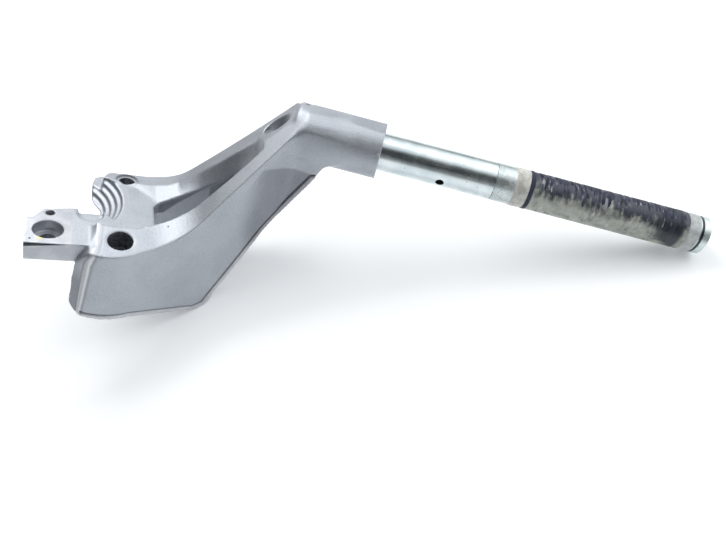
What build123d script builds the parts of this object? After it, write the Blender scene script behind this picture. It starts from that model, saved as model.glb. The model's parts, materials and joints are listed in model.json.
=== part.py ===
"""Right-hand half of a two-piece motorcycle handlebar.

A cast aluminium arm bolts down on the top fork bridge and carries a steel bar tube in a round
socket. The half lies as it rests on a bench, on the lower edge of its skirt and on the free end
of the tube: Z is up from the bench, X runs towards the tube's free end, Y away from the rider.
All shapes of the arm are drawn in the deck frame: its x runs outwards along the fork bridge, its
y forwards, its z along the bolts, with the origin on the lug bolt's axis at the lug's top face.
"""

import os
from math import cos, radians, sin, sqrt, tan

from build123d import *

os.makedirs("parts", exist_ok=True)

# How the half lies on the bench
lean = 25.75  # the deck tips down towards the tube by this angle
heading = 16.7  # and the fork bridge line is turned this far from X
deck_origin = (-173.27, -35.062, 81.155)

# Bolts and deck
deck_depth = 12.0  # from the lug's top face down to the fork bridge
bolt_hole_radius = 4.5
lug_seat_radius = 7.2
lug_seat_depth = 7.1
front_bolt = (34.8, -7.1)
front_seat_radius = 6.6
front_seat_depth = 12.0
rear_bolt = (39.9, 53.5)
rear_seat_radius = 6.5
rear_seat_depth = 3.0
front_boss_radius = 10.0
rear_boss_radius = 8.8
elbow_hole = (115.2, 36.5)
elbow_hole_radius = 6.2
elbow_hole_floor = 52.5

# Machined relief round the steering stem
relief_centre = (1.7, 30.0)
relief_radius = 34.8
relief_steps = 4
relief_step_width = 2.9
relief_floor = -10.5
ledge_top = -6.5  # the rear leg's left corner is cut back above this
spot_centre = (20.2, 17.0)
spot_radius = 6.6
spot_depth = 3.0

# Lug, the flat tongue that the inner bolt holds
lug_left = -10.5
lug_front = -11.0
lug_back = 20.0
cable_screw = (0.4, 14.0)
cable_screw_radius = 2.1
cable_screw_depth = 9.0

# Side view of the arm: flat pad, then a straight climb to the elbow
pad_end = 50.0
pad_height = 3.5
climb_angle = 48.8
climb_bend_radius = 34.3
elbow_x = 127.0
front_crown = 11.3  # the front leg's top leans towards the rider
rear_crown = 16.7  # the rear rail's top leans forwards
front_ridge_y = 4.0
rear_ridge_y = 40.0

# Cuts and first shapes reach past the whole casting by these
full_height = 120.0
full_width = 150.0

# Skirt below the deck
skirt_reach = 54.0
wall_angle = 21.4  # the front wall's line, seen from above
wall = 6.0
ceiling = -8.0  # underside of the web between the legs
hollow_drop = 70.0  # the hollow is cut from below the hem

# Bar tube and its socket
bar_radius = 11.1
bar_bore_radius = 8.5
socket_mouth = (172.5, 13.0, 66.6)
bar_direction = (0.897, -0.426, 0.120)
socket_radius = 16.2
socket_length = 51.0
socket_flat_length = 24.0
socket_flat_depth = 0.8
socket_flat_turn = 12.0
bar_in_socket = 43.0
bar_free_length = 193.3
locating_hole_at = 37.5
locating_hole_radius = 2.5
locating_hole_direction = (0.0, -0.9, -0.35)  # in the deck frame, before it is squared to the tube
insert_bore_radius = 4.0
insert_length = 28.0
insert_flange_end = 197.3

# What is left of the glued grip, measured along the tube from the socket's mouth
tape_start = 68.2
tape_end = 80.0
bead_end = 88.2
lip_end = 90.7
film_end = 184.5
band_end = 191.3
tape_radius = 11.22
bead_radius = 11.3
lip_radius = 11.45
film_radius = 11.2
remains_radius = 11.35
remains_start = 93.0
remains_end = 182.0


def in_deck_frame(direction):
    """A direction of the deck frame, as the bench frame has it."""
    return deck.x_dir * direction[0] + deck.y_dir * direction[1] + deck.z_dir * direction[2]


tip = radians(lean)
turn = radians(heading)
deck = Plane(
    origin=deck_origin,
    x_dir=(cos(tip) * cos(turn), cos(tip) * sin(turn), -sin(tip)),
    z_dir=(sin(tip) * cos(turn), sin(tip) * sin(turn), cos(tip)),
)
side = Plane(deck.origin, x_dir=deck.x_dir, z_dir=-deck.y_dir)
bar = Plane(
    deck.from_local_coords(Vector(*socket_mouth)),
    x_dir=deck.y_dir,
    z_dir=in_deck_frame(bar_direction),
)

climb = radians(climb_angle)
climb_start_x = pad_end + climb_bend_radius * sin(climb)
climb_start_z = pad_height + climb_bend_radius * (1 - cos(climb))
crest_z = climb_start_z + (elbow_x - climb_start_x) * tan(climb)


def front_wall_y(x):
    """The outside of the front wall, straight from the pad to the elbow."""
    return -14.0 + (x - 45.0) * tan(radians(wall_angle))


def top_height(x):
    """The arm's top along the ridge lines: flat pad, bend, straight climb."""
    if x <= pad_end:
        return pad_height
    if x < climb_start_x:
        return pad_height + climb_bend_radius - sqrt(climb_bend_radius**2 - (x - pad_end) ** 2)
    return climb_start_z + (x - climb_start_x) * tan(climb)


def below_top(crown, ridge_y):
    """Everything under the arm's top, which leans sideways by the crown angle."""
    with BuildPart() as under:
        with BuildSketch(side):
            with BuildLine():
                flat = Line((-30, pad_height), (pad_end, pad_height))
                bend = TangentArc(flat @ 1, (climb_start_x, climb_start_z), tangent=flat % 1)
                slope = Line(bend @ 1, (elbow_x, crest_z))
                fall = Line(slope @ 1, (elbow_x + 40, crest_z - 30))
                Polyline(fall @ 1, (elbow_x + 40, -full_height), (-30, -full_height), flat @ 0)
            make_face()
        tilt = radians(crown)
        sideways = deck.y_dir * cos(tilt) + deck.z_dir * sin(tilt)
        extrude(amount=full_width, dir=sideways, both=True)
    shift = -ridge_y * tan(tilt)
    return under.part.moved(Location(deck.z_dir * shift))


def arm_outline(corner_end, nose_middle, nose_end, front_end):
    """The arm's outline in the deck plane: skirt corner, front wall, elbow, rear wall, notch side."""
    with BuildLine() as line:
        corner = Line((10.0, lug_front), corner_end)
        nose = ThreePointArc(corner @ 1, nose_middle, nose_end)
        front = Line(nose @ 1, front_end)
        elbow_front = Line(front @ 1, (147.0, 6.0))
        elbow_end = Line(elbow_front @ 1, (157.0, 30.0))
        elbow_back = Line(elbow_end @ 1, (132.0, 47.0))
        rear = ThreePointArc(elbow_back @ 1, (100.0, 50.0), (58.0, 62.5))
        Polyline(
            rear @ 1,
            (32.5, 62.8),
            (26.2, 62.2),
            (22.4, 60.5),
            (21.0, 54.2),
            (20.6, 45.0),
            (21.6, 40.0),
            (25.3, 33.0),
            (26.0, lug_back),
        )
        Polyline((26.0, lug_back), (10.0, lug_back), corner @ 0)
    return line.line


# Arm and skirt: straight above the deck, the skirt's front wall flaring out below it
with BuildPart() as arm_body:
    with BuildSketch(deck) as outline:
        add(arm_outline((19.5, -17.0), (31.0, -18.5), (45.0, -14.0), (124.0, front_wall_y(124.0))))
        make_face()
    with BuildSketch(deck.offset(-skirt_reach)):
        add(arm_outline((16.5, -19.5), (28.0, -21.0), (42.0, -17.5), (124.0, 4.0)))
        make_face()
    loft(ruled=True)
    extrude(outline.sketch, amount=full_height)
    # side view: rounded left end, hem, heel and the climbing underside
    with BuildSketch(side):
        with BuildLine():
            top = Line((22.5, full_height), (22.5, 2.0))
            shoulder = ThreePointArc(top @ 1, (16.6, -4.5), (13.0, -13.0))
            left_end = Line(shoulder @ 1, (10.2, -34.0))
            toe = ThreePointArc(left_end @ 1, (11.3, -40.0), (15.2, -44.5))
            hem = Line(toe @ 1, (80.0, -50.3))
            heel = ThreePointArc(hem @ 1, (87.3, -47.6), (91.5, -40.0))
            shin = Line(heel @ 1, (97.5, -30.5))
            underside = Line(shin @ 1, (125.0, 12.0))
            throat = Line(underside @ 1, (136.8, 42.3))
            Polyline(throat @ 1, (140.0, 52.0), (149.0, 60.0), (160.0, 62.0), (160.0, full_height), top @ 0)
        make_face()
    extrude(amount=full_width, both=True, mode=Mode.INTERSECT)
    add(below_top(front_crown, front_ridge_y), mode=Mode.INTERSECT)
    add(below_top(-rear_crown, rear_ridge_y), mode=Mode.INTERSECT)

# Hollow underside: open from below, under a ceiling that climbs with the arm
def hollow_outline(flare):
    """The inside of the walls in the deck plane; the front wall stands out by the flare."""
    back_y = 50.0 - wall
    with BuildLine() as line:
        Polyline(
            (0.0, -12.0),
            (40.0, -11.0 - flare),
            (112.0, front_wall_y(112.0) + wall + 1.0 - flare),
            (112.0, back_y - 2.0),
            (98.0, back_y),
            (60.0, back_y + 11.5),
            (0.0, back_y + 11.5),
            close=True,
        )
    return line.line


with BuildPart() as hollow:
    with BuildSketch(deck) as hollow_section:
        add(hollow_outline(0.0))
        make_face()
    with BuildSketch(deck.offset(-skirt_reach)):
        add(hollow_outline(3.5))
        make_face()
    loft(ruled=True)
    extrude(hollow_section.sketch, amount=full_height)
    with BuildSketch(side):
        with BuildLine():
            Polyline(
                (0, -hollow_drop),
                (0, -deck_depth),
                (31, -deck_depth),
                (35, ceiling),
                (60, ceiling),
                (112, 38),
                (112, -hollow_drop),
                close=True,
            )
        make_face()
    extrude(amount=full_width, both=True, mode=Mode.INTERSECT)

# Room for the fork bridge behind the skirt
with BuildPart() as bridge_relief:
    with BuildSketch(deck.offset(-deck_depth)):
        with BuildLine():
            Polyline((-30, -9), (32, -9), (80, 9), (80, 80), (-30, 80), close=True)
        make_face()
    extrude(amount=-full_height)
    with BuildSketch(side):
        with BuildLine():
            Polyline((-30, -deck_depth), (48, -deck_depth), (70, -60), (-30, -60), close=True)
        make_face()
    extrude(amount=full_width, both=True, mode=Mode.INTERSECT)


def valley_station(x, leg_y, floor_y, floor_z, rail_y):
    """A cut through the valley between the legs: leg side, floor, then the bank up to the rail."""
    rail_z = top_height(x) - (rail_y - rear_ridge_y) * tan(radians(rear_crown))
    station = Plane(deck.from_local_coords(Vector(x, 0, 0)), x_dir=deck.y_dir, z_dir=deck.x_dir)
    with BuildSketch(station) as cut:
        with BuildLine():
            Polyline(
                (leg_y, floor_z),
                (leg_y, full_height),
                (rail_y, full_height),
                (rail_y, rail_z),
                (floor_y, floor_z),
                close=True,
            )
        make_face()
    return cut.sketch


with BuildPart() as valley:
    stations = [
        valley_station(18.0, 5.5, 47.0, 0.0, 48.0),
        valley_station(34.0, 2.5, 47.0, 0.0, 48.0),
        valley_station(44.0, 3.0, 46.0, 0.0, 47.5),
        valley_station(56.0, 7.5, 31.0, 0.0, 47.0),
        valley_station(68.0, 11.0, 34.0, 5.0, 45.5),
        valley_station(79.0, 13.0, 34.0, 11.5, 41.5),
        valley_station(90.0, 15.5, 32.0, 21.0, 37.0),
        valley_station(96.0, 17.3, 30.5, 28.5, 35.3),
        valley_station(106.0, 20.5, 29.5, 47.0, 33.5),
    ]
    loft(stations, ruled=True)

# Steps that the cutter left round the steering stem, shallow ones over the deep ones
with BuildPart() as stem_relief:
    for step in range(relief_steps):
        with BuildSketch(deck.offset(relief_floor * (step + 1) / relief_steps)):
            with Locations(relief_centre):
                Circle(relief_radius - step * relief_step_width)
            with BuildLine():
                Polyline((15, 21), (26, 20.5), (33, 12), (60, 12), (60, 52), (15, 52), close=True)
            make_face(mode=Mode.INTERSECT)
        extrude(amount=full_height)

with BuildPart() as arm_casting:
    add(arm_body.part)
    add(hollow.part, mode=Mode.SUBTRACT)
    add(bridge_relief.part, mode=Mode.SUBTRACT)
    add(valley.part, mode=Mode.SUBTRACT)
    # lug
    with BuildSketch(deck):
        with BuildLine():
            Polyline(
                (lug_left, lug_front),
                (28.0, lug_front),
                (28.0, 16.8),
                (14.0, lug_back),
                (-2.8, 16.8),
                (-7.7, 9.0),
                (lug_left, 8.5),
                close=True,
            )
        make_face()
    extrude(amount=-deck_depth)
    # bolt bosses and the socket
    with BuildSketch(deck.offset(-deck_depth)):
        with Locations(front_bolt):
            Circle(front_boss_radius)
        with Locations(rear_bolt):
            Circle(rear_boss_radius)
    extrude(amount=deck_depth - 3.0)
    with BuildSketch(bar):
        Circle(socket_radius)
    extrude(amount=-socket_length)
    # machined relief and the spot face that the cutter starts from
    add(stem_relief.part, mode=Mode.SUBTRACT)
    with BuildSketch(deck.offset(ledge_top)):
        with BuildLine():
            Polyline((15, 40), (25.6, 44), (26.2, 52), (28.9, 60.5), (33, 66), (15, 66), close=True)
        make_face()
    extrude(amount=full_height, mode=Mode.SUBTRACT)
    with BuildSketch(deck.offset(-spot_depth)):
        with Locations(spot_centre):
            Circle(spot_radius)
    extrude(amount=full_height, mode=Mode.SUBTRACT)
    # window between the legs, down into the hollow
    with BuildSketch(deck.offset(ceiling - 6)):
        with BuildLine():
            Polyline(
                (54.0, 9.0),
                (54.0, 27.5),
                (56.5, 31.0),
                (68.0, 33.5),
                (79.0, 33.5),
                (90.0, 31.5),
                (98.0, 29.5),
                (98.0, 19.0),
                (79.0, 13.5),
                (68.0, 11.5),
                close=True,
            )
        make_face()
    extrude(amount=55.0, mode=Mode.SUBTRACT)
    # bolt holes with their seats
    with BuildSketch(deck.offset(-deck_depth)):
        with Locations((0, 0), front_bolt, rear_bolt):
            Circle(bolt_hole_radius)
    extrude(amount=full_height, mode=Mode.SUBTRACT)
    with BuildSketch(deck.offset(-lug_seat_depth)):
        Circle(lug_seat_radius)
    extrude(amount=full_height, mode=Mode.SUBTRACT)
    with BuildSketch(deck.offset(-front_seat_depth + pad_height)):
        with Locations(front_bolt):
            Circle(front_seat_radius)
    extrude(amount=full_height, mode=Mode.SUBTRACT)
    with BuildSketch(deck.offset(-rear_seat_depth)):
        with Locations(rear_bolt):
            Circle(rear_seat_radius)
    extrude(amount=full_height, mode=Mode.SUBTRACT)
    # screw hole of the lug, and the blind hole in the elbow's slope
    with BuildSketch(deck):
        with Locations(cable_screw):
            Circle(cable_screw_radius)
    extrude(amount=-cable_screw_depth, mode=Mode.SUBTRACT)
    with BuildSketch(deck.offset(elbow_hole_floor)):
        with Locations(elbow_hole):
            Circle(elbow_hole_radius)
    extrude(amount=full_height, mode=Mode.SUBTRACT)
    # bar socket
    with BuildSketch(bar):
        Circle(bar_radius)
    extrude(amount=-bar_in_socket, mode=Mode.SUBTRACT)
    # flat that runs out along the top of the socket
    flat_out = Vector(0, 0, 1).rotate(Axis.X, -socket_flat_turn)
    flat_start = bar.origin - bar.z_dir * socket_flat_length + flat_out * socket_radius
    flat_slope = bar.z_dir * socket_flat_length - flat_out * socket_flat_depth
    flat_across = bar.z_dir.cross(flat_out)
    with BuildSketch(Plane(flat_start, x_dir=flat_slope, z_dir=flat_slope.cross(-flat_across))):
        with Locations((socket_flat_length / 2, 0)):
            Rectangle(2 * socket_flat_length, 2 * socket_radius)
    extrude(amount=socket_radius, mode=Mode.SUBTRACT)

arm_casting.part.label = "arm_casting"
export_step(arm_casting.part, "parts/arm_casting.step")

# Steel bar tube, pressed into the socket, drilled for the switch housing's locating pin
with BuildPart() as bar_tube:
    with BuildSketch(bar.offset(-bar_in_socket)):
        Circle(bar_radius)
        Circle(bar_bore_radius, mode=Mode.SUBTRACT)
    extrude(amount=bar_in_socket + bar_free_length)
    towards_rider = in_deck_frame(locating_hole_direction)
    hole_axis = towards_rider - bar.z_dir * towards_rider.dot(bar.z_dir)
    with BuildSketch(Plane(bar.origin + bar.z_dir * locating_hole_at, x_dir=bar.z_dir, z_dir=hole_axis)):
        Circle(locating_hole_radius)
    extrude(amount=2 * bar_radius, mode=Mode.SUBTRACT)
bar_tube.part.label = "bar_tube"
export_step(bar_tube.part, "parts/bar_tube.step")

# Flanged insert in the tube's free end, threaded for an end weight
with BuildPart() as bar_end_insert:
    with BuildSketch(bar.offset(bar_free_length)):
        Circle(bar_radius)
    extrude(amount=insert_flange_end - bar_free_length)
    with BuildSketch(bar.offset(bar_free_length)):
        Circle(bar_bore_radius)
    extrude(amount=-insert_length)
    with BuildSketch(bar.offset(insert_flange_end)):
        Circle(insert_bore_radius)
    extrude(amount=-insert_length - 10.0, mode=Mode.SUBTRACT)
bar_end_insert.part.label = "bar_end_insert"
export_step(bar_end_insert.part, "parts/bar_end_insert.step")


def sleeve(start, end, radius):
    """A thin layer round the tube."""
    with BuildPart() as layer:
        with BuildSketch(bar.offset(start)):
            Circle(radius)
            Circle(bar_radius, mode=Mode.SUBTRACT)
        extrude(amount=end - start)
    return layer.part


# Layers that the removed grip left on the tube
clear_tape = sleeve(tape_start, tape_end, tape_radius)
clear_tape.label = "clear_tape"
export_step(clear_tape, "parts/clear_tape.step")

glue_bead = sleeve(tape_end, bead_end, bead_radius)
glue_bead.label = "glue_bead"
export_step(glue_bead, "parts/glue_bead.step")

rubber_lip = sleeve(bead_end, lip_end, lip_radius)
rubber_lip.label = "rubber_lip"
export_step(rubber_lip, "parts/rubber_lip.step")

glue_film = sleeve(lip_end, film_end, film_radius)
glue_film.label = "glue_film"
export_step(glue_film, "parts/glue_film.step")

end_band = sleeve(film_end, band_end, tape_radius)
end_band.label = "end_band"
export_step(end_band, "parts/end_band.step")

# Dark rubber still stuck to the upper side of the glue
with BuildPart() as rubber_remains:
    with BuildSketch(bar.offset(remains_start)):
        Circle(remains_radius)
        Circle(film_radius, mode=Mode.SUBTRACT)
        with Locations((-remains_radius, 0)):
            Rectangle(2 * remains_radius, 3 * remains_radius, mode=Mode.SUBTRACT)
    extrude(amount=remains_end - remains_start)
rubber_remains.part.label = "rubber_remains"
export_step(rubber_remains.part, "parts/rubber_remains.step")
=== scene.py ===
"""Looks of a used motorcycle handlebar half: cast arm, zinc-plated bar tube, remains of the old grip.

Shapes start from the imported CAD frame. The arm is drawn again in the deck frame, whose x runs outwards
along the fork bridge, y forwards and z along the bolts, with the origin on the lug bolt's axis at the
lug's top face. The remains of the grip are drawn on the bar, by distance along it and angle round it.
"""

import json
from math import cos, pi, radians, sin

import bmesh
import bpy
import numpy as np
from mathutils import Matrix, Vector, noise


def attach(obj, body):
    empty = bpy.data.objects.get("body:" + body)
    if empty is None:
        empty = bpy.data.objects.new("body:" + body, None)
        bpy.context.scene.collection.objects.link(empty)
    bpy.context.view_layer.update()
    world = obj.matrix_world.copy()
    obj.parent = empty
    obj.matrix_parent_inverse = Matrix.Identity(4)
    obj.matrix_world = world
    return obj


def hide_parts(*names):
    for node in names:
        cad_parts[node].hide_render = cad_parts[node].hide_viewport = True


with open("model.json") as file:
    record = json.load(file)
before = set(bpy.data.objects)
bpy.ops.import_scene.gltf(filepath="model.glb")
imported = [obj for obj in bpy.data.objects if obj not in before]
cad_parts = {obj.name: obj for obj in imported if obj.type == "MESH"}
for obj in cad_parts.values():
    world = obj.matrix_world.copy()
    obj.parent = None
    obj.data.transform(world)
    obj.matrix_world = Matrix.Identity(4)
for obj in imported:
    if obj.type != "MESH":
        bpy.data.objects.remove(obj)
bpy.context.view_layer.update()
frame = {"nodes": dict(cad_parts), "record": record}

MM = 0.001
HAIR = 0.05 * MM  # how far a face may be off and still count as cut by a tool

# The deck frame, as the CAD has it
LEAN = radians(25.75)
HEADING = radians(16.7)
DECK_DEPTH = 12.0 * MM
mounts = {mount["name"]: mount for mount in frame["record"]["mounts"]}
deck_x = Vector((cos(LEAN) * cos(HEADING), cos(LEAN) * sin(HEADING), -sin(LEAN)))
deck_z = Vector((sin(LEAN) * cos(HEADING), sin(LEAN) * sin(HEADING), cos(LEAN)))
deck_y = deck_z.cross(deck_x)
lug_mount = mounts["lug_bolt_hole"]
lug_wall = lug_mount["dims"]["length_mm"] * MM
deck_origin = Vector(lug_mount["pos_m"]) + deck_z * (DECK_DEPTH - lug_wall / 2)
deck_matrix = Matrix((deck_x, deck_y, deck_z)).transposed().to_4x4()
deck_matrix.translation = deck_origin

# The bar frame: z along the tube from the socket's mouth, x up
switch_mount = mounts["switch_seat"]
BAR_RADIUS = switch_mount["dims"]["r_mm"] * MM
bar_z = Vector(switch_mount["axis"]).normalized()
bar_origin = Vector(switch_mount["pos_m"]) - bar_z * switch_mount["dims"]["length_mm"] * MM / 2
bar_y = bar_z.cross(Vector((0, 0, 1))).normalized()
bar_x = bar_y.cross(bar_z)
bar_matrix = Matrix((bar_x, bar_y, bar_z)).transposed().to_4x4()
bar_matrix.translation = bar_origin

SOCKET_RADIUS = 16.2 * MM
TAPE_START = 68.2 * MM
# painted shade of the groove in front of the end insert, a dark ring on the tube: it sets in between the first
# two, and ends between the last two
INSERT_GROOVE_SHADE = (0.1914, 0.1920, 0.1932, 0.1935)


# ---------------------------------------------------------------- small helpers


def link(name, mesh):
    """A new object of that mesh."""
    obj = bpy.data.objects.new(name, mesh)
    bpy.context.scene.collection.objects.link(obj)
    return obj


def applied(obj):
    """Bakes the object's modifiers into its mesh."""
    depsgraph = bpy.context.evaluated_depsgraph_get()
    mesh = bpy.data.meshes.new_from_object(obj.evaluated_get(depsgraph))
    obj.modifiers.clear()
    old = obj.data
    obj.data = mesh
    bpy.data.meshes.remove(old)


def coordinates(mesh):
    """The mesh's vertices as an array."""
    flat = np.empty(len(mesh.vertices) * 3)
    mesh.vertices.foreach_get("co", flat)
    return flat.reshape(-1, 3)


def set_coordinates(mesh, points):
    """Moves the mesh's vertices to these points."""
    mesh.vertices.foreach_set("co", points.astype(np.float32).ravel())
    mesh.update()


def turned(bm, profile, matrix, segments=72):
    """Adds a closed solid of revolution: profile is (radius, height) from its lower to its upper end."""
    rings = []
    for radius, height in profile:
        if radius == 0:
            rings.append([bm.verts.new(matrix @ Vector((0, 0, height)))])
            continue
        ring = []
        for k in range(segments):
            angle = 2 * pi * k / segments
            ring.append(bm.verts.new(matrix @ Vector((radius * cos(angle), radius * sin(angle), height))))
        rings.append(ring)
    for low, high in zip(rings, rings[1:]):
        for k in range(segments):
            nxt = (k + 1) % segments
            corners = [low[k % len(low)], low[nxt % len(low)], high[nxt % len(high)], high[k % len(high)]]
            unique = list(dict.fromkeys(corners))
            bm.faces.new(unique)


def cut_away(obj, bm, solver="MANIFOLD"):
    """Takes the drawn solid away from the object."""
    mesh = bpy.data.meshes.new("tool")
    bmesh.ops.recalc_face_normals(bm, faces=bm.faces)
    bm.to_mesh(mesh)
    bm.free()
    tool = link("tool", mesh)
    modifier = obj.modifiers.new("cut", "BOOLEAN")
    modifier.operation = "DIFFERENCE"
    modifier.solver = solver
    modifier.object = tool
    applied(obj)
    bpy.data.objects.remove(tool)


# ---------------------------------------------------------------- materials


class Shader:
    """A short way to write a material's node tree."""

    def __init__(self, name):
        self.material = bpy.data.materials.new(name)
        self.material.use_nodes = True
        self.tree = self.material.node_tree
        self.surface = self.tree.nodes["Principled BSDF"]

    def node(self, kind, inputs=None, **settings):
        made = self.tree.nodes.new("ShaderNode" + kind)
        for key, value in settings.items():
            setattr(made, key, value)
        for key, value in (inputs or {}).items():
            self.feed(made.inputs[key], value)
        return made

    def feed(self, socket, value):
        if isinstance(value, bpy.types.NodeSocket):
            self.tree.links.new(value, socket)
        else:
            socket.default_value = value

    def set(self, **inputs):
        for key, value in inputs.items():
            self.feed(self.surface.inputs[key.replace("_", " ")], value)

    def place(self, matrix=None):
        """Coordinates in metres, of the CAD's frame or of another one."""
        source = self.node("TexCoord").outputs["Object"]
        if matrix is None:
            return source
        inverse = matrix.inverted()
        mapping = self.node("Mapping", {"Vector": source})
        mapping.inputs["Location"].default_value = inverse.translation
        mapping.inputs["Rotation"].default_value = inverse.to_euler("XYZ")
        return mapping.outputs["Vector"]

    def stretched(self, vector, scale):
        return self.node("VectorMath", {0: vector, 1: scale}, operation="MULTIPLY").outputs["Vector"]

    def grain(self, vector, scale, detail=3.0, roughness=0.55):
        inputs = {"Vector": vector, "Scale": scale, "Detail": detail, "Roughness": roughness}
        return self.node("TexNoise", inputs).outputs["Fac"]

    def cells(self, vector, scale):
        return self.node("TexVoronoi", {"Vector": vector, "Scale": scale}).outputs["Distance"]

    def remap(self, value, low, high, out_low=0.0, out_high=1.0):
        made = self.node("MapRange", {"Value": value}, interpolation_type="SMOOTHSTEP")
        for key, bound in (("From Min", low), ("From Max", high), ("To Min", out_low), ("To Max", out_high)):
            made.inputs[key].default_value = bound
        return made.outputs["Result"]

    def math(self, operation, first, second=0.0):
        return self.node("Math", {0: first, 1: second}, operation=operation).outputs["Value"]

    def mix(self, factor, first, second):
        made = self.node("Mix", data_type="RGBA")
        self.feed(made.inputs["Factor"], factor)
        for key, tone in (("A", first), ("B", second)):
            self.feed(made.inputs[key], tone if isinstance(tone, bpy.types.NodeSocket) else (*tone, 1))
        return made.outputs["Result"]

    def bump(self, height, strength, distance, normal=None):
        made = self.node("Bump", {"Height": height, "Strength": strength, "Distance": distance})
        if normal is not None:
            self.feed(made.inputs["Normal"], normal)
        return made.outputs["Normal"]


def blasted_aluminium():
    """Satin blasted casting: fine grain, faint clouds, lighter worn edges, painted shade in the lines and the
    hollow.
    """
    s = Shader("blasted_aluminium")
    place = s.place()
    fine = s.grain(place, 2200, 2)
    coarse = s.grain(place, 800, 3)
    clouds = s.grain(place, 45, 4)
    edge = s.remap(s.node("NewGeometry").outputs["Pointiness"], 0.51, 0.58)
    worn = s.node("Attribute", attribute_name="worn").outputs["Fac"]
    painted_shade = s.node("Attribute", attribute_name="painted_shade").outputs["Fac"]
    tone = s.mix(s.remap(clouds, 0.3, 0.7), (0.355, 0.38, 0.42), (0.44, 0.465, 0.505))
    tone = s.mix(s.remap(fine, 0.35, 0.65, 0.0, 0.5), tone, (0.62, 0.63, 0.66))
    tone = s.mix(s.remap(coarse, 0.60, 0.70, 0.0, 0.35), tone, (0.26, 0.27, 0.30))
    tone = s.mix(s.math("MULTIPLY", edge, 0.6), tone, (0.84, 0.84, 0.86))
    tone = s.mix(s.math("MULTIPLY", worn, 0.55), tone, (0.86, 0.85, 0.84))
    # painted shade: darker where give_wear_and_shade paints shade on the vertices
    tone = s.mix(painted_shade, tone, (0.10, 0.10, 0.12))
    rough = s.remap(s.math("ADD", fine, s.math("MULTIPLY", clouds, 0.5)), 0.5, 1.0, 0.42, 0.56)
    normal = s.bump(fine, 0.5, 0.00018)
    normal = s.bump(coarse, 0.45, 0.00030, normal)
    s.set(Base_Color=tone, Metallic=0.85, Roughness=rough, Normal=normal)
    return s.material


def machined_aluminium():
    """Cut faces: brighter, with fine tool marks."""
    s = Shader("machined_aluminium")
    place = s.place(deck_matrix)
    marks = s.grain(s.stretched(place, (3500, 220, 3500)), 1.0, 3)
    clouds = s.grain(place, 120, 4)
    tone = s.mix(s.remap(clouds, 0.35, 0.65), (0.42, 0.435, 0.47), (0.52, 0.53, 0.56))
    # a dab of yellow paint on the rim of the lug's bolt seat
    dab_middle = (-3.4 * MM, -7.3 * MM, -0.4 * MM)
    away = s.node("VectorMath", {0: place, 1: dab_middle}, operation="DISTANCE").outputs["Value"]
    ragged = s.math("MULTIPLY", s.grain(place, 900, 3), 0.003)
    dab = s.remap(s.math("ADD", away, ragged), 0.0024, 0.0032, 0.8, 0.0)
    tone = s.mix(dab, tone, (0.62, 0.55, 0.16))
    rough = s.remap(marks, 0.3, 0.7, 0.34, 0.50)
    normal = s.bump(marks, 0.18, 0.00008)
    s.set(Base_Color=tone, Metallic=0.85, Roughness=rough, Normal=normal)
    return s.material


def recess_shade():
    """Painted shade inside the bolt holes and the slit: dull and dark, in faint clouds."""
    s = Shader("recess_shade")
    clouds = s.grain(s.place(), 500, 4)
    tone = s.mix(s.remap(clouds, 0.35, 0.65), (0.06, 0.065, 0.08), (0.13, 0.14, 0.16))
    s.set(Base_Color=tone, Metallic=0.4, Roughness=0.55, Normal=s.bump(clouds, 0.3, 0.0002))
    return s.material


def zinc(name, tone_low, tone_high, roughness):
    """Zinc-plated steel: bright, drawn along the tube, lightly spotted, with painted shade where the groove in
    front of the end insert lies.
    """
    s = Shader(name)
    place = s.place(bar_matrix)
    drawn = s.grain(s.stretched(place, (1500, 1500, 60)), 1.0, 4)
    turned_marks = s.grain(s.stretched(place, (60, 60, 2400)), 1.0, 2)
    clouds = s.grain(place, 90, 4)
    specks = s.remap(s.cells(place, 260), 0.06, 0.12)
    tone = s.mix(s.remap(clouds, 0.3, 0.7), tone_low, tone_high)
    tone = s.mix(s.math("MULTIPLY", s.math("SUBTRACT", 1.0, specks), 0.8), tone, (0.10, 0.10, 0.11))
    _, along = around(s, place)
    dark_from, darkest, lighter_from, gone = INSERT_GROOVE_SHADE
    sets_in = s.remap(along, dark_from, darkest)
    groove = s.math("MULTIPLY", sets_in, s.remap(along, lighter_from, gone, 1.0, 0.0))
    # painted shade of the groove in front of the end insert
    tone = s.mix(s.math("MULTIPLY", groove, 0.95), tone, (0.015, 0.02, 0.03))
    spread = s.math("ADD", s.math("MULTIPLY", drawn, 0.6), s.math("MULTIPLY", clouds, 0.4))
    rough = s.remap(spread, 0.3, 0.7, roughness - 0.06, roughness + 0.10)
    normal = s.bump(drawn, 0.12, 0.00006)
    normal = s.bump(turned_marks, 0.05, 0.00003, normal)
    s.set(Base_Color=tone, Metallic=1.0, Roughness=rough, Normal=normal)
    return s.material


def around(s, place):
    """The angle round the bar, 0 on top and positive towards the rider, and the distance along it."""
    split = s.node("SeparateXYZ", {"Vector": place})
    return s.math("ARCTAN2", split.outputs["Y"], split.outputs["X"]), split.outputs["Z"]


def smear(s, place, along_scale, round_scale, detail=4.0):
    """Noise drawn out round the bar."""
    angle, along = around(s, place)
    unrolled = {"X": s.math("MULTIPLY", along, along_scale), "Y": s.math("MULTIPLY", angle, round_scale)}
    flat = s.node("CombineXYZ", unrolled)
    return s.grain(flat.outputs["Vector"], 1.0, detail, 0.6)


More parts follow.
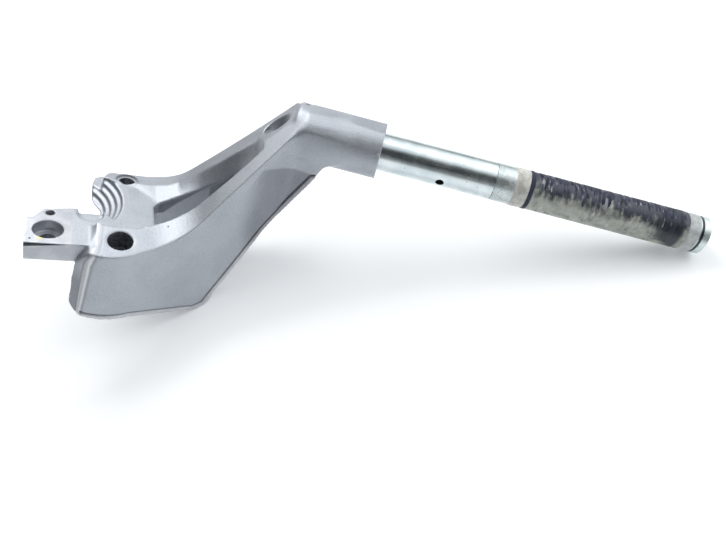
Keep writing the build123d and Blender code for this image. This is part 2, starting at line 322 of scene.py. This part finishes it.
def clear_tape_look():
    """Glassy clear film over the zinc, slightly wrinkled."""
    s = Shader("clear_film")
    place = s.place(bar_matrix)
    wrinkles = smear(s, place, 500, 2.5)
    milk = s.remap(s.grain(place, 180, 4), 0.45, 0.7, 0.22, 0.6)
    _, along = around(s, place)
    broken = s.remap(smear(s, place, 30, 3.0), 0.42, 0.5)
    start = s.remap(along, TAPE_START, TAPE_START + 0.0006, 1.0, 0.0)
    edge = s.math("MULTIPLY", start, broken)
    tone = s.mix(edge, (0.80, 0.83, 0.81), (0.03, 0.03, 0.04))
    s.set(Base_Color=tone, Roughness=0.08, Alpha=s.math("MAXIMUM", milk, edge), Coat_Weight=0.6)
    s.set(Normal=s.bump(wrinkles, 0.6, 0.0003))
    return s.material


def glue_look(name, tone_low, tone_high):
    """Old cream glue, lumpy and a little glossy."""
    s = Shader(name)
    place = s.place(bar_matrix)
    lumps = s.grain(place, 260, 5)
    streaks = smear(s, place, 700, 2.0)
    tone = s.mix(s.remap(lumps, 0.35, 0.65), tone_low, tone_high)
    tone = s.mix(s.remap(streaks, 0.56, 0.72, 0.0, 0.6), tone, (0.30, 0.30, 0.30))
    normal = s.bump(streaks, 0.3, 0.0002, s.bump(lumps, 0.5, 0.0003))
    s.set(Base_Color=tone, Roughness=s.remap(lumps, 0.3, 0.7, 0.28, 0.5), Normal=normal)
    return s.material


def film_look():
    """Thin grey-cream film with dark rubber wiped into it, darker above, in streaks round the bar."""
    s = Shader("smeared_film")
    place = s.place(bar_matrix)
    angle, along = around(s, place)
    streaks = smear(s, place, 420, 1.3, 5)
    broad = smear(s, place, 90, 1.0, 3)
    lumps = s.grain(place, 220, 5)
    tone = s.mix(s.remap(lumps, 0.35, 0.65), (0.26, 0.29, 0.26), (0.46, 0.47, 0.42))
    tone = s.mix(s.remap(streaks, 0.52, 0.66, 0.0, 0.75), tone, (0.60, 0.60, 0.56))
    edge = s.math("ADD", angle, s.math("MULTIPLY", s.math("SUBTRACT", streaks, 0.5), 2.2))
    edge = s.math("ADD", edge, s.math("MULTIPLY", s.math("SUBTRACT", broad, 0.5), 2.6))
    dark = s.remap(edge, 0.45, 1.35, 1.0, 0.0)
    tone = s.mix(s.math("MULTIPLY", dark, 0.92), tone, (0.02, 0.024, 0.05))
    end = s.math("ADD", along, s.math("MULTIPLY", s.math("SUBTRACT", broad, 0.5), 0.012))
    end = s.math("SUBTRACT", end, s.math("MULTIPLY", s.remap(angle, 1.5, 2.3), 0.012))
    patch = s.math("MULTIPLY", s.remap(end, 0.160, 0.170), s.remap(along, 0.1825, 0.1800, 0.0, 1.0))
    tone = s.mix(s.math("MULTIPLY", patch, 0.92), tone, (0.015, 0.022, 0.035))
    normal = s.bump(streaks, 0.35, 0.0002)
    s.set(Base_Color=tone, Metallic=0.25, Roughness=s.remap(lumps, 0.3, 0.7, 0.25, 0.45), Normal=normal)
    return s.material


def rubber_look(name, rubbed_from=0.56):
    """Blue-black rubber, rubbed thin in streaks, more so on the rider's side."""
    s = Shader(name)
    place = s.place(bar_matrix)
    angle, _ = around(s, place)
    streaks = smear(s, place, 600, 1.2, 5)
    broad = smear(s, place, 120, 1.0, 3)
    lumps = s.grain(place, 300, 4)
    tone = s.mix(s.remap(streaks, 0.35, 0.6), (0.010, 0.012, 0.024), (0.045, 0.05, 0.085))
    rubbed = s.math("ADD", streaks, s.math("MULTIPLY", angle, 0.10))
    rubbed = s.math("ADD", rubbed, s.math("MULTIPLY", s.math("SUBTRACT", broad, 0.5), 0.5))
    tone = s.mix(s.remap(rubbed, rubbed_from, rubbed_from + 0.16, 0.0, 0.9), tone, (0.46, 0.45, 0.49))
    s.set(Base_Color=tone, Roughness=s.remap(lumps, 0.3, 0.7, 0.45, 0.6), Specular_IOR_Level=0.25)
    s.set(Normal=s.bump(streaks, 0.5, 0.0003))
    return s.material


# ---------------------------------------------------------------- the arm

VOXEL = 0.5 * MM
SMOOTHING_SHARE = 0.6  # how far one smoothing step goes
EDGE_ROUNDING = 0.95 * MM
FILLET = 4.5 * MM
WALL_SWEEP = 3.5 * MM
RIDGE_ROUNDING = 2.0 * MM
SHARP_ANGLE = radians(38)

# bolts, screw and blind hole: where they are, how wide and how deep
LUG_BOLT = (0, 0)
FRONT_BOLT = (34.8 * MM, -7.1 * MM)
REAR_BOLT = (39.9 * MM, 53.5 * MM)
SCREW = (0.4 * MM, 14.0 * MM)
BOLT_HOLE_RADIUS = 4.5 * MM
LUG_SEAT_FLOOR = -7.1 * MM
FRONT_SEAT_RADIUS = 6.6 * MM
FRONT_SEAT_FLOOR = -8.5 * MM
REAR_SEAT_RADIUS = 6.5 * MM
REAR_SEAT_FLOOR = -3 * MM
LUG_END = 11 * MM
ELBOW_HOLE = (115.2 * MM, 36.5 * MM)
ELBOW_HOLE_RADIUS = 6.2 * MM
ELBOW_HOLE_FLOOR = 52.5 * MM

# how deep and how high the tools reach that cut the holes, and how deep the plugs that fill them first
DRILL_END = -14 * MM
DRILL_TOP = 12 * MM
PLUG_END = -11.5 * MM

# the skirt's lower edge and the arm's underside in side view, from the toe to the throat
HEM = ((10.2, -34.0), (11.3, -40.0), (15.2, -44.5), (80.0, -50.3), (87.3, -47.6), (91.5, -40.0),
       (97.5, -30.5), (125.0, 12.0), (136.8, 42.3))
LIP_WIDTH = 2.9 * MM
LIP_STEP = 0.35 * MM
GROOVE_DEPTH = 0.4 * MM
GROOVE_WIDTH = 0.5 * MM

# the parting ridge between the skirt's front and its left end, which runs on over the leg's top
RIDGE = ((14.6, -19.2, -52.0), (15.4, -18.7, -44.0), (19.2, -17.3, -8.0), (21.6, -16.4, -2.0),
         (23.6, -13.0, 1.6), (24.6, 4.0, 2.8))
RIDGE_HEIGHT = 0.35 * MM
RIDGE_WIDTH = 1.4 * MM
BESIDE_RIDGE = 0.25 * MM

# the bright rounded ridge where the elbow's top ends
ELBOW_RIDGE = ((127.5, 40.0, 74.2), (127.5, 34.8, 75.8), (127.4, 28.8, 77.2), (127.2, 24.5, 77.4),
               (126.4, 20.8, 76.0), (125.1, 17.8, 74.0), (122.2, 15.5, 70.2), (119.5, 15.3, 54.0))
# what stands outside of that ridge is cut off: the rest of the cut's outline, where it starts and how tall it is
TRIM_BACK = [(122, 10), (134, 10), (134, 40)]
TRIM_FROM = 62
TRIM_HEIGHT = 40
# the blend from that ridge ends on the socket: degrees round it from its top, and mm from its mouth
BLEND_ANGLE, BLEND_TURN = -25, 135
BLEND_END, BLEND_RISE = -25, 15
BLEND_ROOT = -40 * MM
BLEND_STEPS = 12

# the valley's floor along the arm
VALLEY_X = (18, 56, 68, 79, 90, 96, 106)
VALLEY_Z = (0, 0, 5, 11.5, 21, 28.5, 47)

# casting pores: where they are in mm, and their radius
PORES = ((59.6, 4.0, 4.6, 0.55), (103.0, 8.0, 14.0, 0.5), (-7.9, -8.2, 0.0, 0.7), (36.0, 43.0, 0.3, 0.5))


def at_deck(x, y, z=0.0):
    """A shift in the deck frame."""
    return Matrix.Translation((x, y, z))


def smoothed(mesh, radius, weights, fill=None):
    """Evens the mesh out over that radius, by its weights: vertices move towards their neighbours' mean.

    With normals in fill, they only move outwards.
    """
    pairs = np.empty(len(mesh.edges) * 2, np.int64)
    mesh.edges.foreach_get("vertices", pairs)
    active = weights > 0.01
    pairs = pairs.reshape(-1, 2)
    pairs = pairs[active[pairs].any(1)]
    used, local = np.unique(pairs, return_inverse=True)
    one, two = local.reshape(-1, 2).T
    count = len(used)
    degree = np.bincount(one, minlength=count) + np.bincount(two, minlength=count)
    everything = coordinates(mesh)
    points = everything[used]
    pull = (SMOOTHING_SHARE * weights[used] / degree)[:, None]
    for _ in range(steps_for(radius)):
        total = np.empty_like(points)
        for k in range(3):
            total[:, k] = np.bincount(one, points[two, k], count) + np.bincount(two, points[one, k], count)
        step = pull * (total - degree[:, None] * points)
        if fill is not None:
            step *= ((step * fill[used]).sum(1) > 0)[:, None]
        points = points + step
    everything[used] = points
    set_coordinates(mesh, everything)


def ramp(values, low, high):
    """0 below low, 1 above high, smooth between them."""
    part = np.clip((values - low) / (high - low), 0, 1)
    return part * part * (3 - 2 * part)


def steps_for(radius):
    """How many smoothing steps spread a vertex over that radius."""
    return max(1, round(2 * radius**2 / (SMOOTHING_SHARE * VOXEL**2)))


def distance_to_line(points, corners):
    """How far each point is from a line through the corners."""
    best = np.full(len(points), np.inf)
    for start, end in zip(corners, corners[1:]):
        start, end = np.array(start) * MM, np.array(end) * MM
        run = end - start
        share = np.clip((points - start) @ run / (run @ run), 0, 1)
        best = np.minimum(best, np.linalg.norm(points - start - share[:, None] * run, axis=1))
    return best


def normals(mesh):
    """The mesh's vertex normals as an array."""
    flat = np.empty(len(mesh.vertices) * 3)
    mesh.vertex_normals.foreach_get("vector", flat)
    return flat.reshape(-1, 3)


def seen_from(points, matrix):
    """The points, as another frame has them."""
    inverse = np.array(matrix.inverted())
    return points @ inverse[:3, :3].T + inverse[:3, 3]


def hem_distance(points):
    """How far each point is from the skirt's lower edge, in side view."""
    return distance_to_line(points[:, (0, 2)], HEM)


def hem_strip(points, facing):
    """1 on the walls above the hem, where the lip runs; it fades out in the throat."""
    x, _, z = points.T
    return ramp(-facing[:, 1], 0.3, 0.7) * ramp(x, 16 * MM, 18 * MM) * (1 - ramp(z, 46 * MM, 54 * MM))


def cast_details(mesh):
    """The lip along the hem, and the parting ridge round the skirt's left end."""
    points = coordinates(mesh)
    facing = normals(mesh)
    to_hem = hem_distance(points)
    lip = LIP_STEP * (1 - ramp(to_hem, LIP_WIDTH - VOXEL, LIP_WIDTH))
    groove = GROOVE_DEPTH * np.exp(-(((to_hem - LIP_WIDTH) / GROOVE_WIDTH) ** 2))
    to_ridge = distance_to_line(points, RIDGE)
    ridge = RIDGE_HEIGHT * np.exp(-((to_ridge / RIDGE_WIDTH) ** 4))
    beside = BESIDE_RIDGE * np.exp(-(((to_ridge - 2.1 * MM) / (0.8 * MM)) ** 2))
    on_skirt = 0.35 + 0.65 * (1 - ramp(points[:, 2], -3 * MM, 1 * MM))
    points += facing * (hem_strip(points, facing) * (lip - groove) + on_skirt * (ridge - beside))[:, None]
    set_coordinates(mesh, points)


def paint(mesh, name, values):
    """Keeps a value from 0 to 1 on each vertex, for the material to read."""
    layer = mesh.attributes.new(name, "FLOAT", "POINT")
    layer.data.foreach_set("value", values.astype(np.float32))


def shoulder(bm, socket):
    """The full blend between the elbow's ridge and the socket, which ends in a curve on the socket."""
    corners = [Vector(c) * MM for c in ELBOW_RIDGE]
    turn = socket.to_3x3()
    up = (turn.inverted() @ Vector((0, 0, 1))).normalized()
    front = (turn.inverted() @ Vector((0, -1, 0))).normalized()
    for k in range(BLEND_STEPS + 1):
        share = k / BLEND_STEPS
        angle = radians(BLEND_ANGLE + BLEND_TURN * share)
        out = up * cos(angle) + front * sin(angle)
        # a hair outside of the socket, so that its surface shows
        out = Vector((out.x, out.y)).normalized() * SOCKET_RADIUS * 1.012
        corners.append(socket @ Vector((out.x, out.y, (BLEND_END + BLEND_RISE * share) * MM)))
        corners.append(socket @ Vector((out.x * 0.8, out.y * 0.8, BLEND_ROOT)))
    made = [bm.verts.new(c) for c in corners]
    bmesh.ops.convex_hull(bm, input=made)


def plug(bm, radius, top, matrix, low=PLUG_END):
    """Fills a round hole up to a height."""
    turned(bm, [(0, low), (radius, low), (radius, top), (0, top)], matrix)


def rough_arm(socket):
    """The CAD solid with a fuller elbow and its machined holes filled, as an even mesh in the deck frame."""
    mesh = frame["nodes"]["arm_casting"].data.copy()
    mesh.transform(deck_matrix.inverted())
    bm = bmesh.new()
    bm.from_mesh(mesh)
    bmesh.ops.remove_doubles(bm, verts=bm.verts, dist=0.01 * MM)
    bm.to_mesh(mesh)
    bm.free()
    mesh.materials.clear()
    arm = link("cast_arm", mesh)

    # the elbow's square corner goes, out to the curved ridge
    bm = bmesh.new()
    outline = [c[:2] for c in ELBOW_RIDGE[:7]] + TRIM_BACK
    face = bm.faces.new([bm.verts.new(Vector((x, y, TRIM_FROM)) * MM) for x, y in outline])
    pulled = bmesh.ops.extrude_face_region(bm, geom=[face])["geom"]
    roof = [item for item in pulled if isinstance(item, bmesh.types.BMVert)]
    bmesh.ops.translate(bm, vec=(0, 0, TRIM_HEIGHT * MM), verts=roof)
    cut_away(arm, bm, "EXACT")

    # material is left on where a tool cuts afterwards, flush with what is round it
    mesh = arm.data
    bm = bmesh.new()
    bm.from_mesh(mesh)
    plug(bm, 7.3 * MM, 0.05 * MM, at_deck(*LUG_BOLT))
    plug(bm, 7.2 * MM, 0.3 * MM, at_deck(*FRONT_BOLT))
    plug(bm, 7.0 * MM, -1.6 * MM, at_deck(*REAR_BOLT))
    plug(bm, 11.6 * MM, 1 * MM, socket, -46 * MM)
    shoulder(bm, socket)
    bm.to_mesh(mesh)
    bm.free()
    remesh = arm.modifiers.new("remesh", "REMESH")
    remesh.mode = "VOXEL"
    remesh.voxel_size = VOXEL
    applied(arm)
    return arm


def round_off(mesh, socket):
    """Rounds the cast edges, less so on the lug and along the hem, and not at the socket's mouth."""
    points = coordinates(mesh)
    x, y, z = points.T
    lug = 1 - ramp(x, 9 * MM, 15 * MM)
    below = 1 - ramp(z, -16 * MM, -12 * MM)
    weights = 1 - 0.85 * lug * (1 - below)
    weights *= 1 - 0.75 * (1 - ramp(hem_distance(points), 2 * MM, 5 * MM))
    local = seen_from(points, socket)
    past_mouth = local[:, 2]
    weights *= ramp(-past_mouth, 0.6 * MM, 3 * MM)

    # the front wall is one smooth sweep
    wall = ramp(-normals(mesh)[:, 1], 0.80, 0.95) * ramp(x, 60 * MM, 75 * MM)
    wall *= 1 - ramp(past_mouth, -16 * MM, -8 * MM)
    smoothed(mesh, WALL_SWEEP, wall)
    # the elbow flows into the socket, and the valley runs out softly
    off_axis = np.hypot(local[:, 0], local[:, 1])
    elbow = ramp(x, 108 * MM, 118 * MM) * (1 - ramp(past_mouth, -24 * MM, -14 * MM))
    elbow *= ramp(off_axis, 11.8 * MM, 13 * MM) * ramp(z, 38 * MM, 48 * MM)
    valley = ramp(x, 92 * MM, 98 * MM) * (1 - ramp(x, 110 * MM, 116 * MM)) * ramp(z, 15 * MM, 22 * MM)
    valley *= ramp(y, 10 * MM, 16 * MM)
    smoothed(mesh, FILLET, np.maximum(elbow, valley), normals(mesh))
    ridge = np.exp(-((distance_to_line(points, ELBOW_RIDGE[1:7]) / (4 * MM)) ** 2))
    smoothed(mesh, RIDGE_ROUNDING, ridge)
    smoothed(mesh, EDGE_ROUNDING, weights)


def bolt_hole(bm, seat_radius, seat_floor, centre):
    """A tool for a bolt hole with a flat-bottomed seat over it."""
    turned(bm, [(0, DRILL_END), (BOLT_HOLE_RADIUS, DRILL_END), (BOLT_HOLE_RADIUS, seat_floor),
                (seat_radius, seat_floor), (seat_radius, DRILL_TOP), (0, DRILL_TOP)], at_deck(*centre))


def machine(arm, socket):
    """Cuts the bolt seats, the holes, the pores, the socket with its mouth, and the slit."""
    bm = bmesh.new()
    # the lug's seat has a broken inner edge and a chamfered rim
    turned(bm, [(0, DRILL_END), (BOLT_HOLE_RADIUS, DRILL_END), (BOLT_HOLE_RADIUS, LUG_SEAT_FLOOR),
                (6.9 * MM, LUG_SEAT_FLOOR), (7.2 * MM, -6.8 * MM), (7.3 * MM, -0.3 * MM),
                (7.7 * MM, 0.1 * MM), (7.7 * MM, 8 * MM), (0, 8 * MM)], at_deck(*LUG_BOLT))
    bolt_hole(bm, FRONT_SEAT_RADIUS, FRONT_SEAT_FLOOR, FRONT_BOLT)
    bolt_hole(bm, REAR_SEAT_RADIUS, REAR_SEAT_FLOOR, REAR_BOLT)
    # the lug's tapped hole, countersunk
    turned(bm, [(0, -9 * MM), (2.1 * MM, -7.8 * MM), (2.1 * MM, -0.4 * MM), (2.9 * MM, 0.4 * MM),
                (2.9 * MM, 5 * MM), (0, 5 * MM)], at_deck(*SCREW), 32)
    # the elbow's blind hole, with a rounded floor
    low, rim = ELBOW_HOLE_FLOOR, ELBOW_HOLE_RADIUS
    turned(bm, [(0, low), (rim - 1.6 * MM, low), (rim - 0.5 * MM, low + 0.5 * MM), (rim, low + 1.6 * MM),
                (rim, 90 * MM), (0, 90 * MM)], at_deck(*ELBOW_HOLE))
    for x, y, z, radius in PORES:
        ball = [(radius * sin(pi * k / 8) * MM, -radius * cos(pi * k / 8) * MM) for k in range(1, 8)]
        turned(bm, [(0, -radius * MM), *ball, (0, radius * MM)], at_deck(x * MM, y * MM, z * MM), 12)
    cut_away(arm, bm)

    # the socket's bore has a broken edge, and its mouth is faced flat
    bm = bmesh.new()
    turned(bm, [(0, -43 * MM), (BAR_RADIUS, -43 * MM), (BAR_RADIUS, -0.6 * MM), (BAR_RADIUS + 0.6 * MM, 0),
                (24 * MM, 0), (24 * MM, 10 * MM), (0, 10 * MM)], socket)
    cut_away(arm, bm)

    # a slit tapers along the lug's front, just under its top edge
    bm = bmesh.new()
    corners = ((-12, -11.8, -0.5), (-12, -11.8, -4.0), (-12, -8.6, -1.0), (11, -11, -0.6))
    slit = [bm.verts.new(Vector(c) * MM) for c in corners]
    for a, b, c in ((0, 2, 1), (0, 1, 3), (1, 2, 3), (2, 0, 3)):
        bm.faces.new([slit[a], slit[b], slit[c]])
    cut_away(arm, bm)


def give_materials(mesh, socket):
    """Blasted as cast, machined where a tool has cut, and painted dark as shade in the bolt holes and the slit.
    """
    centres = np.empty(len(mesh.polygons) * 3)
    mesh.polygons.foreach_get("center", centres)
    centres = centres.reshape(-1, 3)
    x, y, z = centres.T
    local = seen_from(centres, socket)
    # the whole lug is milled
    cut = (x < LUG_END) & (z > -13 * MM)
    dark = np.zeros(len(x), bool)
    seats = ((FRONT_BOLT, FRONT_SEAT_RADIUS, True), (REAR_BOLT, REAR_SEAT_RADIUS, False),
             (ELBOW_HOLE, ELBOW_HOLE_RADIUS, False))
    # painted shade: the front bolt's deep seat is dark inside
    for (cx, cy), radius, seat_shade in seats:
        inside = (np.hypot(x - cx, y - cy) < radius + HAIR) & (z > -12.5 * MM)
        cut |= inside
        dark |= inside & seat_shade
    # painted shade: the bolt holes and the tapped hole are dark below their seats
    below_seats = (z < REAR_SEAT_FLOOR - 4 * HAIR) & (z > 2 * HAIR - DECK_DEPTH)
    for cx, cy in (LUG_BOLT, REAR_BOLT, SCREW):
        dark |= (np.hypot(x - cx, y - cy) < BOLT_HOLE_RADIUS + 2 * HAIR) & below_seats
    # painted shade in the slit along the lug's front
    in_slit = (y < -8.5 * MM) & (y > -10.94 * MM) & (z < -0.45 * MM) & (z > -3.6 * MM)
    dark |= (x < 9.5 * MM) & in_slit
    in_bore = (np.hypot(local[:, 0], local[:, 1]) < 11.3 * MM) & (local[:, 2] > -44 * MM)
    cut |= (np.abs(local[:, 2]) < 0.7 * MM) | in_bore
    mesh.materials.clear()
    for material in (blasted_aluminium(), machined_aluminium(), recess_shade()):
        mesh.materials.append(material)
    mesh.polygons.foreach_set("material_index", cut.astype(np.int32) + (cut & dark))


def give_wear_and_shade(mesh):
    """Paints where the casting is rubbed bright, and paints shade: beside the ridge, in the groove above the
    hem's lip, on the skirt's left end and in the hollow under the web.
    """
    points = coordinates(mesh)
    to_ridge = distance_to_line(points, RIDGE)
    strip = hem_strip(points, normals(mesh))
    to_hem = hem_distance(points)
    x, y, z = points.T
    below_deck = 1 - ramp(z, -3 * MM, 1 * MM)
    end_face = (1 - ramp(x, 15 * MM, 19 * MM)) * (1 - ramp(z, -24 * MM, -10 * MM))
    end_face *= ramp(to_ridge, 2 * MM, 3 * MM)
    on_lip = strip * (1 - ramp(to_hem, LIP_WIDTH - VOXEL, LIP_WIDTH))
    worn = (0.35 + 0.5 * below_deck) * np.exp(-(((to_ridge - 1.1 * MM) / (0.5 * MM)) ** 2))
    worn += 0.3 * np.exp(-((to_ridge / (0.9 * MM)) ** 2)) + 0.55 * on_lip
    # painted shade beside the ridge and on the skirt's left end, then in the groove above the lip
    painted_shade = 0.35 * below_deck * np.exp(-(((to_ridge - 2.2 * MM) / (0.5 * MM)) ** 2)) + 0.4 * end_face
    painted_shade += 0.8 * strip * np.exp(-(((to_hem - LIP_WIDTH - 0.2 * MM) / (0.45 * MM)) ** 2))
    # painted shade in the hollow under the web
    web = np.interp(x, np.array(VALLEY_X) * MM, np.array(VALLEY_Z) * MM)
    in_window = ramp(x, 50 * MM, 53 * MM) * ramp(y, 6 * MM, 12 * MM) * (y < 47 * MM)
    painted_shade += 0.45 * ramp(web - z, 0.8 * MM, 2.5 * MM) * in_window
    paint(mesh, "worn", np.clip(worn, 0, 1))
    paint(mesh, "painted_shade", np.clip(painted_shade, 0, 1))


def draw_arm():
    """The casting: the CAD solid with its cast edges rounded and its machined faces cut again, crisp."""
    socket = deck_matrix.inverted() @ bar_matrix
    arm = rough_arm(socket)
    round_off(arm.data, socket)
    cast_details(arm.data)
    machine(arm, socket)
    mesh = arm.data
    give_materials(mesh, socket)
    mesh.polygons.foreach_set("use_smooth", np.ones(len(mesh.polygons), bool))
    mesh.set_sharp_from_angle(angle=SHARP_ANGLE)
    give_wear_and_shade(mesh)
    mesh.transform(deck_matrix)
    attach(arm, "root")
    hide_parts("arm_casting")


draw_arm()

# ---------------------------------------------------------------- the bar


def dress(node, material):
    """A CAD node keeps its shape and gets its finish."""
    mesh = frame["nodes"][node].data
    mesh.materials.clear()
    mesh.materials.append(material)


dress("bar_tube", zinc("bar_zinc", (0.58, 0.66, 0.68), (0.76, 0.81, 0.82), 0.20))
dress("bar_end_insert", zinc("insert_zinc", (0.52, 0.60, 0.61), (0.70, 0.75, 0.74), 0.30))

TURN = (0.0, 2 * pi)
EDGE_LIFT = 0.02 * MM


def skin(name, node, material, span, angles, radius, keep, cells):
    """A thin layer on the bar, drawn cell by cell: radius and keep read distance along and angle round."""
    start, end = span
    first, last = angles
    closed = angles == TURN
    along_cells, round_cells = cells
    bm = bmesh.new()
    rows = []
    for i in range(along_cells + 1):
        t = start + (end - start) * i / along_cells
        row = []
        for j in range(round_cells if closed else round_cells + 1):
            a = first + (last - first) * j / round_cells
            r = radius(t, a)
            row.append(bm.verts.new(bar_matrix @ Vector((r * cos(a), r * sin(a), t))))
        rows.append(row)
    for i in range(along_cells):
        for j in range(round_cells):
            t = start + (end - start) * (i + 0.5) / along_cells
            a = first + (last - first) * (j + 0.5) / round_cells
            if not keep(t, a):
                continue
            k = (j + 1) % len(rows[0])
            bm.faces.new([rows[i][j], rows[i][k], rows[i + 1][k], rows[i + 1][j]])
    loose = [v for v in bm.verts if not v.link_faces]
    bmesh.ops.delete(bm, geom=loose, context="VERTS")
    # ragged edges lie down on the tube
    for vert in bm.verts:
        if vert.is_boundary:
            local = bar_matrix.inverted() @ vert.co
            shrink = (BAR_RADIUS + EDGE_LIFT) / Vector((local.x, local.y)).length
            vert.co = bar_matrix @ Vector((local.x * shrink, local.y * shrink, local.z))
    bmesh.ops.recalc_face_normals(bm, faces=bm.faces)
    mesh = bpy.data.meshes.new(name)
    bm.to_mesh(mesh)
    bm.free()
    mesh.materials.append(material)
    mesh.polygons.foreach_set("use_smooth", np.ones(len(mesh.polygons), bool))
    obj = link(name, mesh)
    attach(obj, "root")
    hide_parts(node)


def lumps(t, a, scale, seed=0.0):
    """Noise on the bar's surface, from -1 to 1."""
    return noise.noise(Vector((BAR_RADIUS * cos(a) * scale, BAR_RADIUS * sin(a) * scale, t * scale + seed)))


def span_of(node):
    """Where a CAD sleeve starts and ends along the bar."""
    inverse = bar_matrix.inverted()
    along_bar = [(inverse @ v.co).z for v in frame["nodes"][node].data.vertices]
    return min(along_bar), max(along_bar)


def layer(thickness, waver, scale, seed=0.0):
    """The radius of an even layer that wavers a little; sizes in mm."""
    return lambda t, a: BAR_RADIUS + (thickness + waver * lumps(t, a, scale, seed)) * MM


def swollen(span, thickness, swell, fullness, waver, scale, seed):
    """The radius of a ring that swells in the middle of its span and wavers; sizes in mm."""
    start, end = span

    def radius(t, a):
        across = min(1, (t - start) / (end - start))
        bulge = swell * sin(pi * across) ** fullness
        return BAR_RADIUS + (thickness + bulge + waver * lumps(t, a, scale, seed)) * MM

    return radius


def everywhere(t, a):
    """The layer has no gaps."""
    return True


def torn(t, a):
    """Rubber is left on top, torn in strips round the bar."""
    strip = noise.noise(Vector((t * 650, a * 1.3, 2.0))) + 0.6 * noise.noise(Vector((t * 160, a * 2.0, 8.0)))
    reach = 0.45 + 0.55 * noise.noise(Vector((t * 110, 0.0, 4.0)))
    return strip > -0.22 + 1.1 * max(0.0, abs(a + 0.30) - reach)


bead = span_of("glue_bead")
lip = span_of("rubber_lip")
skin("tape_skin", "clear_tape", clear_tape_look(),
     span_of("clear_tape"), TURN, layer(0.10, 0.05, 220), everywhere, (24, 96))
skin("bead_skin", "glue_bead", glue_look("cream_glue", (0.50, 0.49, 0.44), (0.70, 0.69, 0.64)),
     bead, TURN, swollen(bead, 0.05, 0.26, 0.6, 0.10, 260, 3.0), everywhere, (20, 120))
skin("lip_skin", "rubber_lip", rubber_look("lip_rubber", 0.80),
     lip, TURN, swollen(lip, 0.08, 0.30, 0.5, 0.04, 300, 5.0), everywhere, (8, 120))
skin("film_skin", "glue_film", film_look(),
     span_of("glue_film"), TURN, layer(0.10, 0.05, 180, 7.0), everywhere, (180, 96))
skin("band_skin", "end_band", glue_look("pale_glue", (0.42, 0.44, 0.44), (0.62, 0.64, 0.63)),
     span_of("end_band"), TURN, layer(0.14, 0.05, 240, 9.0), everywhere, (16, 96))
skin("remains_skin", "rubber_remains", rubber_look("torn_rubber"),
     span_of("rubber_remains"), (-pi / 2, pi / 2), layer(0.22, 0.07, 240, 11.0), torn, (220, 90))

# ---------------------------------------------------------------- studio


def floor():
    """A wide pale bench top."""
    bm = bmesh.new()
    bmesh.ops.create_grid(bm, x_segments=2, y_segments=2, size=3.0)
    mesh = bpy.data.meshes.new("bench")
    bm.to_mesh(mesh)
    bm.free()
    bench = link("bench", mesh)
    bench.location.z = -0.2 * MM
    s = Shader("bench_white")
    s.set(Base_Color=(0.90, 0.91, 0.92, 1), Roughness=0.65)
    s.set(Emission_Color=(0.96, 0.98, 1.0, 1), Emission_Strength=0.22)
    mesh.materials.append(s.material)


def softbox(name, place, target, size, power):
    """A rectangular area light that looks at a point."""
    light = bpy.data.lights.new(name, "AREA")
    light.shape = "RECTANGLE"
    light.size, light.size_y = size
    light.energy = power
    obj = bpy.data.objects.new(name, light)
    bpy.context.scene.collection.objects.link(obj)
    obj.location = place
    obj.rotation_euler = (Vector(target) - Vector(place)).to_track_quat("-Z", "Y").to_euler()


def surroundings():
    """A bright room behind and above, dark round the viewer and to the left."""
    world = bpy.data.worlds.new("studio")
    bpy.context.scene.world = world
    world.use_nodes = True
    tree = world.node_tree
    background = tree.nodes["Background"]
    coordinate = tree.nodes.new("ShaderNodeTexCoord").outputs["Generated"]

    def towards(direction, low, high, out_low, out_high):
        """Goes from out_low to out_high as the view turns towards the direction."""
        dot = tree.nodes.new("ShaderNodeVectorMath")
        dot.operation = "DOT_PRODUCT"
        tree.links.new(coordinate, dot.inputs[0])
        dot.inputs[1].default_value = Vector(direction).normalized()
        fit = tree.nodes.new("ShaderNodeMapRange")
        fit.interpolation_type = "SMOOTHSTEP"
        tree.links.new(dot.outputs["Value"], fit.inputs["Value"])
        for key, bound in (("From Min", low), ("From Max", high), ("To Min", out_low), ("To Max", out_high)):
            fit.inputs[key].default_value = bound
        return fit.outputs["Result"]

    def joined(operation, first, second):
        made = tree.nodes.new("ShaderNodeMath")
        made.operation = operation
        tree.links.new(first, made.inputs[0])
        tree.links.new(second, made.inputs[1])
        return made.outputs["Value"]

    light = towards((0, 0.35, 1), 0.35, 0.95, 0.30, 1.05)
    patches = (
        ("MULTIPLY", (0.05, -0.75, 0.66), 0.84, 0.975, 1.0, 0.16),  # dark round the viewer
        ("MULTIPLY", (-1, -0.35, 0.1), 0.2, 0.9, 1.0, 0.28),  # dark on the left
        ("MULTIPLY", (0, 1, 0.55), 0.5, 0.98, 1.0, 0.45),  # dimmer high at the back
        ("ADD", (0, 1, -0.15), 0.84, 0.98, 0.0, 1.1),  # bright low at the back
        ("ADD", (0.9, 0.25, 0.5), 0.6, 0.95, 0.0, 1.2),  # bright on the right
    )
    for operation, *patch in patches:
        light = joined(operation, light, towards(*patch))
    background.inputs["Color"].default_value = (0.95, 0.98, 1.0, 1)
    tree.links.new(light, background.inputs["Strength"])


def camera():
    """Looks down at the half from the front, a little from the left."""
    data = bpy.data.cameras.new("camera")
    data.sensor_width = 36.0
    data.lens = 30.35
    data.clip_start = 0.01
    obj = bpy.data.objects.new("camera", data)
    bpy.context.scene.collection.objects.link(obj)
    obj.location = (0.0093, -0.2673, 0.2811)
    obj.rotation_euler = (radians(42.98), radians(5.39), radians(0.01))
    bpy.context.scene.camera = obj


floor()
surroundings()
softbox("key", (-0.30, 0.55, 0.85), (-0.02, 0, 0), (0.6, 0.4), 4.0)
softbox("top", (-0.05, 0.30, 1.1), (0, 0.05, 0), (0.8, 0.7), 1.3)
camera()
bpy.context.scene.view_settings.view_transform = "Standard"
